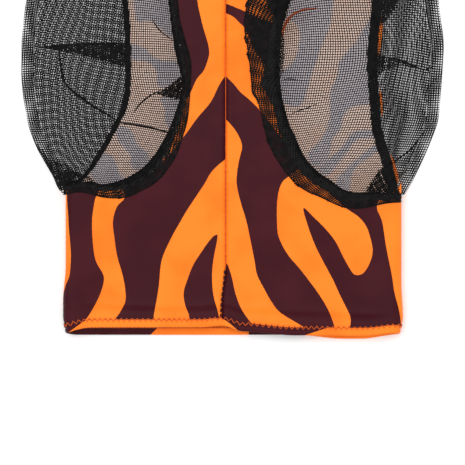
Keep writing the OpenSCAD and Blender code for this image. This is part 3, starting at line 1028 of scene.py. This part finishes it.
NET_PITCH = {LEFT: 1.70, RIGHT: 1.80}
NET_COVER = {LEFT: 0.375, RIGHT: 0.365}       # thread width as a share of the pitch
UPPER_TURN = 1.5                              # degrees that each net's lattice is turned
UNDERSIDE_TURN = {LEFT: 14.0, RIGHT: -8.0}


def build_net(side):
    bubble = NetBubble(side)
    reach_a = (-112.0, 164.0)
    reach_b = (-4.0, bubble.row_run[-1] + 4)
    pitch = NET_PITCH[side]
    parts = []
    area = 0.0
    for turn, kept in ((UPPER_TURN, bubble.on_top), (UNDERSIDE_TURN[side], bubble.on_underside)):
        points, faces, part_area = lattice(
            bubble.point, reach_a, reach_b, pitch, pitch * NET_COVER[side], turn, kept)
        parts.append((points, faces))
        area += part_area
    name = SIDE_NAMES[side]
    net = add_net(f"eye_net_{name}", parts, "net")
    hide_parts(f"eye_mesh_{name}")
    flat = ((reach_a[1] - reach_a[0]) * MM, bubble.row_run[-1] * MM)
    return bubble, net, flat, area * MM ** 2


# Places where the net is folded over itself: outline, number of extra layers, turn in degrees.
FOLDS = {
    LEFT: [
        ([(-145, 215), (-131, 215.5), (-104, 216), (-76, 215), (-75, 206), (-77, 197), (-83, 199),
          (-98, 202.5), (-114, 206.5), (-130, 211)], 2, 8),
        ([(-70, 167), (-63, 175), (-55, 180), (-48, 185), (-36, 194), (-34, 184), (-38, 175),
          (-50, 176), (-58, 178), (-65, 171)], 3, 22),
        ([(-148, 144), (-138, 133), (-128, 128), (-117, 124), (-118, 114), (-131, 108),
          (-145, 125)], 1, 30),
        ([(-136, 121), (-120, 122), (-108, 119), (-102, 112), (-108, 103), (-124, 101)], 1, 12),
    ],
    RIGHT: [
        ([(24, 272), (23, 250), (30, 237), (37, 230), (41, 243), (44, 258), (48, 272)], 4, 14),
        ([(106, 206), (116, 206), (126, 205), (134, 202), (142, 198.5), (134, 198), (126, 199.5),
          (117, 197), (107, 193)], 1, 20),
        ([(96, 100), (112, 126), (121, 108), (122, 98), (112, 98)], 2, 24),
        ([(100, 262), (104, 236), (110, 228), (123, 246), (128, 262)], 2, 10),
    ],
}
# The same on the right band: at its lower corner, and folded over the bridge of the nose.
BAND_FOLDS = [
    ([(112, 99), (115, 106), (119, 114), (123, 113), (125.5, 106), (125.5, 98.5)], 3, 20),
    ([(12, 237), (36, 229), (39, 205), (36, 190), (27, 188), (21, 205), (14, 222)], 1, 15),
    ([(22, 274), (24, 250), (30, 237), (37, 229), (44, 248), (47, 274)], 3, 14),
]
# Narrow creases that show as dark lines: points and radius.
CREASES = {
    LEFT: [
        ([(-129, 211), (-127, 196), (-123, 185), (-107, 172), (-94, 164), (-84, 158)], 0.95),
        ([(-83, 157), (-70, 155), (-58, 153), (-46, 150)], 0.85),
        ([(-73, 164), (-68, 171), (-61, 177), (-52, 182)], 0.6),
        ([(-60, 235), (-54, 226), (-44, 219)], 0.45),
        ([(-148, 215), (-118, 215), (-76, 215)], 0.8),
    ],
    RIGHT: [
        ([(106, 204), (118, 205), (128, 203), (142, 198), (150, 200)], 0.8),
        ([(112, 122), (124, 131), (134, 139), (144, 152)], 0.6),
        ([(36, 189), (42, 190), (52, 188)], 0.35),
        ([(62, 171), (55, 168), (48, 166), (42, 163)], 0.4),
    ],
}


NET_HIGH = 0.028     # metres from the surface up to where the folds lie
FOLD_PITCH = 1.6
FOLD_THREAD = 0.72


def drawn_in(line):
    """Lines seen from the camera, brought in to where they lie on the raised net."""
    middle = np.array([0.0, VIEW_UP])
    return middle + (np.array(line, float) - middle) * (1 - NET_HIGH / CAMERA_HIGH)


def fold_patch(outline, layers, turn, surface, kept=None):
    """Layers of net inside an outline, stacked on a surface; kept limits them to a region."""
    edge = smooth_curve(drawn_in(outline), 4, closed=True)
    low, high = edge.min(axis=0), edge.max(axis=0)
    parts = []
    for layer in range(layers):

        def place(a, b, lift=0.45 * (layer + 1)):
            return np.stack([a, b, surface(a, b) + lift], axis=-1)

        def valid(a, b, points, inset=0.5 * layer):
            flat = np.stack([a, b], axis=-1)
            within = inside_distance(flat, edge) - inset
            if kept is not None:
                within = np.minimum(within, inside_distance(flat, kept))
            return within > 0

        points, faces, _ = lattice(
            place, (low[0], high[0]), (low[1], high[1]),
            FOLD_PITCH, FOLD_THREAD, turn + 19 * layer, valid)
        parts.append((points, faces))
    return parts


def build_folds(bubble):
    side = bubble.side
    parts = []
    for outline, layers, turn in FOLDS[side]:
        parts += fold_patch(outline, layers, turn, bubble.high, bubble.upper)
    for line, radius in CREASES[side]:
        curve = even_curve(drawn_in(line), 1.6)
        share = np.linspace(0, 1, len(curve))
        high = bubble.high(curve[:, 0], curve[:, 1]) + 0.5
        path = np.column_stack([curve, high])
        parts.append(round_tube(path, radius * (0.35 + 0.65 * np.sin(math.pi * share)), 6))
    return add_net(f"eye_net_folds_{SIDE_NAMES[side]}", parts, "net")


def strip_maker(first, second, surface):
    """place() for a strip between two lines: a along it, b from 0 to its nominal width."""
    lines = [even_curve(line, 1.0) for line in (first, second)]
    at = np.linspace(0, 1, max(map(len, lines)))
    first, second = (at_shares(line, at) for line in lines)
    middle = (first + second) / 2
    length = np.linalg.norm(np.diff(middle, axis=0), axis=1).sum()
    width = float(np.median(np.linalg.norm(first - second, axis=1)))

    def place(a, b, lift=0.0):
        share = np.clip(a / length, 0, 1)
        v = np.clip(b / width, 0, 1)
        wobble = 0.05 + 0.03 * np.sin(a / 1.9) + 0.02 * np.sin(a / 5.3)
        v = v - wobble * np.cos(math.pi * v)
        x = np.interp(share, at, first[:, 0]) * (1 - v) + np.interp(share, at, second[:, 0]) * v
        y = np.interp(share, at, first[:, 1]) * (1 - v) + np.interp(share, at, second[:, 1]) * v
        ruffle = 0.35 * np.sin(a / 1.7 + 3 * v) * np.sin(math.pi * v) + 0.5 * np.sin(math.pi * v)
        return np.stack([x, y, surface(x, y) + lift + ruffle], axis=-1)

    return place, length, width


def strip_layers(first, second, surface, turns, pitch, thread, lift=0.35):
    """Layers of net in a strip between two lines, one for each turn in degrees."""
    place, length, width = strip_maker(first, second, surface)
    parts = []
    for layer, turn in enumerate(turns):

        def lifted(a, b, height=lift + 0.4 * layer):
            return place(a, b, height)

        points, faces, _ = lattice(lifted, (0, length), (0, width), pitch, thread, turn)
        parts.append((points, faces))
    return parts


def face_surface(x, y):
    return face_high(np.clip(x, -HALF + 2, HALF - 2), y)


def jaw_surface(x, y):
    return np.full(np.shape(x), FLOOR_GAP + CLOTH)


# Where the bands' dense inner plies start, as a share of the width, along the band from below.
PLY_START = {
    LEFT: [(0, 0.5), (1, 0.45)],
    RIGHT: [(0, 0.45), (0.2, 0.5), (0.38, 0.57), (0.42, 0.5), (0.44, 0.3), (0.46, 0.5),
            (0.5, 0.66), (0.6, 0.75), (0.75, 0.6), (1, 0.5)],
}


def edge_cord(line, radius, lift):
    curve = even_curve(line, 2.0)
    path = np.column_stack([curve, face_surface(curve[:, 0], curve[:, 1]) + lift])
    return round_tube(path, radius, 7)


# What differs between the two front bands: thread width of their shell, turns of shell and dense
# plies, (radius, lift) of the cords on the outer and inner edge, (turn, lift) of the ply on top.
BAND_MAKE = {
    LEFT: (0.62, (4, 13), (12, 40), (0.55, 0.5), (0.7, 0.9), (14, 1.9)),
    RIGHT: (0.58, (7, 16), (3, 30, 61), (0.5, 0.5), (0.9, 1.4), (22, 2.2)),
}
# The seam band on the jaw reaches from here to here across the rear seam.
REAR_REACH = {LEFT: (-2.6, 1.9), RIGHT: (-4.4, 3.2)}


def build_bands(side):
    """The gathered band on the face and the seam band on the jaw."""
    outer, inner = BAND_OUTER[side], BAND_INNER[side]
    name = SIDE_NAMES[side]
    thread, shell_turns, ply_turns, outer_cord, inner_cord, (top_turn, top_lift) = BAND_MAKE[side]
    inner_half = between(outer, inner, PLY_START[side])
    parts = strip_layers(outer, inner, face_surface, shell_turns, 1.5, thread)
    parts += strip_layers(inner_half, inner, face_surface, ply_turns, 1.3, 0.8)
    parts.append(edge_cord(outer, *outer_cord))
    parts.append(edge_cord(inner, *inner_cord))
    if side == RIGHT:
        for outline, layers, turn in BAND_FOLDS:
            parts += fold_patch(outline, layers, turn, lambda x, y: face_surface(x, y) + 1.2)
    top = strip_layers(inner_half, inner, face_surface, (top_turn,), 1.7, 0.5, top_lift)
    front = add_net(f"eye_band_front_{name}", parts)
    # The ply on top wears the net painted lighter: painted light on the top layer.
    over = add_net(f"eye_band_ply_{name}", top, material=NET_PAINTED_LIGHTER)
    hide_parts(f"eye_band_{name}_front")
    far, near = ([(x + shift, y) for x, y in REAR_SEAM[side]] for shift in REAR_REACH[side])
    parts = strip_layers(near, far, jaw_surface, (5, 33, 62), 1.3, 0.85)
    rear = add_net(f"eye_band_rear_{name}", parts)
    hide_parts(f"eye_band_{name}_rear")
    return front, over, rear


def build_right_details():
    """Red edge thread inside the right opening, and print showing beside its rear seam."""
    arc = even_curve([(36, 219), (37, 225), (42, 234), (50, 239), (62, 241)], 1.5)
    share = np.linspace(0, 1, len(arc))
    path = np.column_stack([arc, np.full(len(arc), 11.0)])
    thread = round_tube(path, 1.15 * (1 - 0.65 * share ** 2), 7)
    edge = add_mesh("eye_edge_thread_right", *thread, [THREAD_RED], "thread")
    seam = even_curve(REAR_SEAM[RIGHT], 2.0)
    parts = []
    for low, high, wide in ((106, 134, 1.1), (160, 184, 0.7), (204, 240, 1.2)):
        run = seam[(seam[:, 1] > low) & (seam[:, 1] < high)]
        ease = np.sin(np.linspace(0, math.pi, len(run)))
        path = np.column_stack([run[:, 0] + 4.0, run[:, 1], np.full(len(run), 1.9)])
        parts.append(round_tube(path, 0.2 + wide * ease, 7))
    sliver = add_mesh("rear_seam_allowance_right", *join_parts(parts), [PRINT], "print_cloth")
    give_stripe(sliver, np.full(len(sliver.data.vertices), -5.0))
    return edge, sliver


# ---- ears

EAR_LENGTH = 178.0
EAR_WIDE = 84.0
EAR_ROOT = 0.76
EAR_LEAN = math.radians(9)
EAR_DROOP = math.tan(math.radians(4))
EAR_UP = box_mm("ear_left_front")[0][1]
EAR_HIGH = box_mm("ear_left_front")[1][2]
EAR_OUT = {side: middle_mm(f"ear_collar_{SIDE_NAMES[side]}")[0] for side in (LEFT, RIGHT)}
ROOT = 0.13          # share of the ear's length in which it rises from the forehead
EAR_BEND = (EAR_UP - 12, EAR_UP + 22)       # where the ear starts to bend and has bent


def ear_half_width(s):
    s = np.clip(s, 0, 1)
    bulge = EAR_ROOT + (1 - EAR_ROOT) * np.sin(math.pi * s ** 0.7)
    return EAR_WIDE / 2 * bulge * np.sqrt(np.clip(1 - s ** 3, 0, 1))


def ear_point(side, s, v, layer, lift=0.0):
    """Point on an ear: s from root to tip, v from edge to edge; layer 1 front, -1 back, 0 edge."""
    s = np.asarray(s, float)
    v = np.asarray(v, float)
    fill = np.clip(1 - v ** 2, 0, 1) ** 0.65
    root_run = 16 + layer * fill * 10
    run = np.where(s >= 0, s * EAR_LENGTH, s / ROOT * root_run) + 6
    local_x = v * ear_half_width(s)
    turn = -side * EAR_LEAN * smoothstep(-ROOT, 0.15, s)
    x = EAR_OUT[side] + local_x * np.cos(turn) - run * np.sin(turn)
    y = EAR_UP + local_x * np.sin(turn) + run * np.cos(turn)
    close = np.sqrt(np.clip(1 - np.clip(s, 0, 1) ** 2.2, 0, 1))
    crumple = (
        0.9 * np.sin(s * 17 + v * 2.3 + side) * np.sin(v * 3.1 + s * 5)
        + 0.5 * np.sin(s * 41 - v * 4) * (1 - np.clip(s, 0, 1))
    )
    puff = layer * fill * close * (4.6 + crumple)
    full = EAR_HIGH - 5.5 - EAR_DROOP * np.maximum(run, 0) + puff + 1.1 * np.sin(s * 6 + 1) * v
    ground = face_high(np.clip(x, -HALF + 8, HALF - 8), np.minimum(y, POLL_UP)) + 0.2
    rise = smoothstep(-ROOT, 0.05, s)
    z = ground * (1 - rise) + full * rise + lift
    return np.stack([x, y, z], axis=-1)


def ear_sheet(side, layer):
    steps_s, steps_v = 84, 44
    s = np.concatenate([np.linspace(-ROOT, 0, 16)[:-1], np.sin(np.linspace(0, math.pi / 2, steps_s))])
    v = np.sin(np.linspace(-math.pi / 2, math.pi / 2, steps_v))
    grid_s, grid_v = np.meshgrid(s, v, indexing="ij")
    points = ear_point(side, grid_s, grid_v, layer).reshape(-1, 3)
    index = np.arange(len(points)).reshape(len(s), len(v))
    faces = np.stack([index[:-1, :-1], index[:-1, 1:], index[1:, 1:], index[1:, :-1]], axis=-1)
    faces = faces.reshape(-1, 4)
    if layer < 0:
        faces = faces[:, ::-1]
    return points, faces, grid_s.ravel(), grid_v.ravel()


def build_ear(side):
    name = SIDE_NAMES[side]
    start, end = (to_frame([EAR_OUT[side], up, EAR_HIGH]).tolist() for up in EAR_BEND)
    for layer, part in ((1, "front"), (-1, "back")):
        points, faces, s, v = ear_sheet(side, layer)
        sheet = add_mesh(
            f"ear_{part}_{name}", points, faces, [PRINT, WRONG_SIDE], "print_cloth", body=None)
        give_stripe(sheet, wild_stripes(points[:, 0] * 1.1 + 13 * layer, points[:, 1] + 20 * layer))
        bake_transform(sheet)
        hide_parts(f"ear_{name}_{part}")
    turns = np.concatenate([
        [(s, -1.0) for s in np.linspace(-ROOT, 0, 12)[:-1]],
        [(s, -1.0) for s in np.sin(np.linspace(0, math.pi / 2, 60))[:-1]],
        [(s, 1.0) for s in np.sin(np.linspace(math.pi / 2, 0, 60))],
        [(s, 1.0) for s in np.linspace(0, -ROOT, 12)[1:]],
    ])
    rim = even_points(ear_point(side, turns[:, 0], turns[:, 1], 0), 2.2)
    binding = add_mesh(f"ear_rim_{name}", *round_tube(rim, 1.35, 10), [BINDING], "binding", body=None)
    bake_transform(binding)
    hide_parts(f"ear_{name}_binding")
    around = np.linspace(-1, 1, 40)
    base = np.concatenate([
        ear_point(side, -ROOT, around, 1), ear_point(side, -ROOT, around[::-1], -1)[1:-1]])
    base[:, 2] += 0.3
    ring = round_tube(base, 1.0, 8, closed=True)
    seam = add_mesh(f"ear_root_seam_{name}", *ring, [BINDING], "binding")
    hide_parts(f"ear_collar_{name}")


# ---- zip


def build_zip_tape(side):
    name = SIDE_NAMES[side]
    low, high = box_mm(f"zip_tape_{name}")
    near = JAW_MID + side * 1.2
    far = JAW_MID + side * 18.0
    length = np.arange(low[1], high[1], 3.0)
    across = np.linspace(near, far, 13)
    x, y = np.meshgrid(across, length, indexing="ij")
    spread = np.abs(x - JAW_MID)
    z = FLOOR_GAP + CLOTH + 0.5 + 2.4 * (1 - smoothstep(2, 11, spread)) + 0.2 * np.sin(y / 9 + x)
    points = np.stack([x, y, z], axis=-1).reshape(-1, 3)
    index = np.arange(len(points)).reshape(x.shape)
    faces = np.stack([index[:-1, :-1], index[1:, :-1], index[1:, 1:], index[:-1, 1:]], axis=-1)
    faces = faces.reshape(-1, 4)
    if side == LEFT:
        faces = faces[:, ::-1]
    tape = add_mesh(f"zip_tape_woven_{name}", points, faces, [TAPE], "zip_tape")
    thicken(tape, 0.5)
    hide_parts(f"zip_tape_{name}")


def build_zip_coil(side):
    """A continuous nylon coil, flattened, sewn along the tape's edge."""
    name = SIDE_NAMES[side]
    low, high = box_mm(f"zip_chain_{name}")
    middle = (low + high) / 2
    turns_per_mm = 1 / 2.2
    count = int((high[1] - low[1]) * turns_per_mm * 12)
    y = np.linspace(low[1] + 1, high[1] - 1, count)
    phase = 2 * math.pi * (y * turns_per_mm + (0.5 if side == RIGHT else 0))
    reach = (high[0] - low[0]) / 2 + 0.25
    tall = (high[2] - low[2]) / 2 - 0.3
    path = np.column_stack([middle[0] + reach * np.cos(phase), y, middle[2] + tall * np.sin(phase)])
    coil = add_mesh(f"zip_coil_{name}", *round_tube(path, 0.36, 5), [COIL], "zip_coil")
    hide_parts(f"zip_chain_{name}")


def dress_zip_metal():
    for node in ("zip_slider", "zip_pull", "zip_top_stops", "zip_bottom_stop"):
        part = bpy.data.objects[node]
        part.data.materials.clear()
        part.data.materials.append(METAL)


# ---- stage, light and camera


def plain_material(name, colour, rough):
    g = Graph(name)
    darker = tuple(c * 0.985 for c in colour)
    share = g.span(g.noise(3.0), 0.3, 0.7, 0.0, 1.0)
    g.surface(Base_Color=g.mix(share, colour, darker), Roughness=rough)
    return g.material


def build_stage():
    bpy.ops.mesh.primitive_plane_add(size=8, location=(0, 0, -0.0007))
    floor = bpy.context.object
    floor.name = "floor"
    floor.data.materials.append(plain_material("floor", (0.92, 0.92, 0.92), 0.9))

    def area_light(name, place, target, size, power):
        light = bpy.data.lights.new(name, "AREA")
        light.shape = "SQUARE"
        light.size = size
        light.energy = power
        lamp = bpy.data.objects.new(name, light)
        bpy.context.scene.collection.objects.link(lamp)
        lamp.location = place
        aim = np.array(target, float) - np.array(place, float)
        lamp.rotation_euler = Vector(aim).to_track_quat("-Z", "Y").to_euler()

    area_light("overhead", (-0.5, 0.5, 2.2), (0, -0.1, 0), 2.4, 40)
    area_light("side_fill", (1.9, -1.0, 1.3), (0, -0.1, 0), 1.6, 8)

    world = bpy.data.worlds.new("studio")
    world.use_nodes = True
    back = world.node_tree.nodes["Background"]
    back.inputs["Color"].default_value = (1, 1, 1, 1)
    back.inputs["Strength"].default_value = 0.8
    bpy.context.scene.world = world


def build_camera():
    data = bpy.data.cameras.new("camera")
    camera = bpy.data.objects.new("camera", data)
    bpy.context.scene.collection.objects.link(camera)
    camera.location = (0, HEM_Y + VIEW_UP * MM, CAMERA_HIGH)
    camera.rotation_euler = (0, 0, 0)
    data.sensor_width = 36
    data.lens = 36 * CAMERA_HIGH / VIEW_WIDTH
    data.clip_end = 50
    bpy.context.scene.camera = camera


build_camera()
build_stage()
bpy.context.scene.view_settings.view_transform = "Standard"

hem_pieces = [build_nose_hem(), build_hem_stitches(), *build_face_seam(), build_jaw_seam()]
top_pieces = list(build_top_binding())
dress_zip_metal()
for side in (LEFT, RIGHT):
    panel, flat_size, flat_area = cheek_cloth(side)
    bubble, net, net_flat, net_area = build_net(side)
    folds = build_folds(bubble)
    bands = build_bands(side)
    if side == RIGHT:
        bands += build_right_details()
    build_ear(side)
    build_zip_tape(side)
    build_zip_coil(side)
